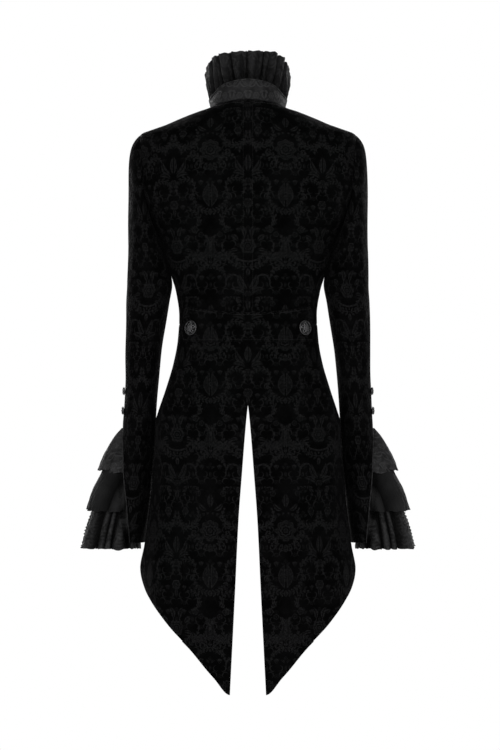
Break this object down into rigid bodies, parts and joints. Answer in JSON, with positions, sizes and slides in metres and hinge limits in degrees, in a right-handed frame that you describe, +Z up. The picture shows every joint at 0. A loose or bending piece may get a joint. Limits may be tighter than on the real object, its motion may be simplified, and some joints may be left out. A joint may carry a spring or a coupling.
{
  "type": "tailcoat",
  "caption": "Fitted velvet tailcoat in its worn shape, with a gathered stand collar, half belt, pointed tails and tiered wrist frills.",
  "frame": {"origin": "between the shoulders, level with the foot of the neck band at its sides, where the wearer's shoulders hold the coat", "axes": "+Z up, +X to the wearer's left, -Y the way the wearer faces, so the tails hang on the +Y side"},
  "size_m": [0.5952, 0.2735, 1.1456],
  "materials": {
    "velvet": "black damask velvet",
    "band_jacquard": "black jacquard taffeta",
    "frill_taffeta": "black patterned taffeta",
    "frill_chiffon": "black chiffon",
    "button_metal": "aged filigree metal"
  },
  "bodies": {
    "root": {"back_left": "velvet", "back_right": "velvet", "belt_button_left": "button_metal", "belt_button_right": "button_metal", "cuff_button_1_left": "button_metal", "cuff_button_1_right": "button_metal", "cuff_button_2_left": "button_metal", "cuff_button_2_right": "button_metal", "frill_lower_left": "frill_taffeta", "frill_lower_right": "frill_taffeta", "frill_middle_left": "frill_chiffon", "frill_middle_right": "frill_chiffon", "frill_upper_left": "frill_taffeta", "frill_upper_right": "frill_taffeta", "front_button_1": "button_metal", "front_button_2": "button_metal", "front_button_3": "button_metal", "front_button_4": "button_metal", "front_button_5": "button_metal", "front_left": "velvet", "front_right": "velvet", "half_belt": "velvet", "neck_band": "band_jacquard", "neck_frill": "frill_taffeta", "side_back_left": "velvet", "side_back_right": "velvet", "side_skirt_left": "velvet", "side_skirt_right": "velvet", "sleeve_under_left": "velvet", "sleeve_under_right": "velvet", "sleeve_upper_left": "velvet", "sleeve_upper_right": "velvet", "tail_left": "velvet", "tail_right": "velvet"}
  },
  "joints": []
}
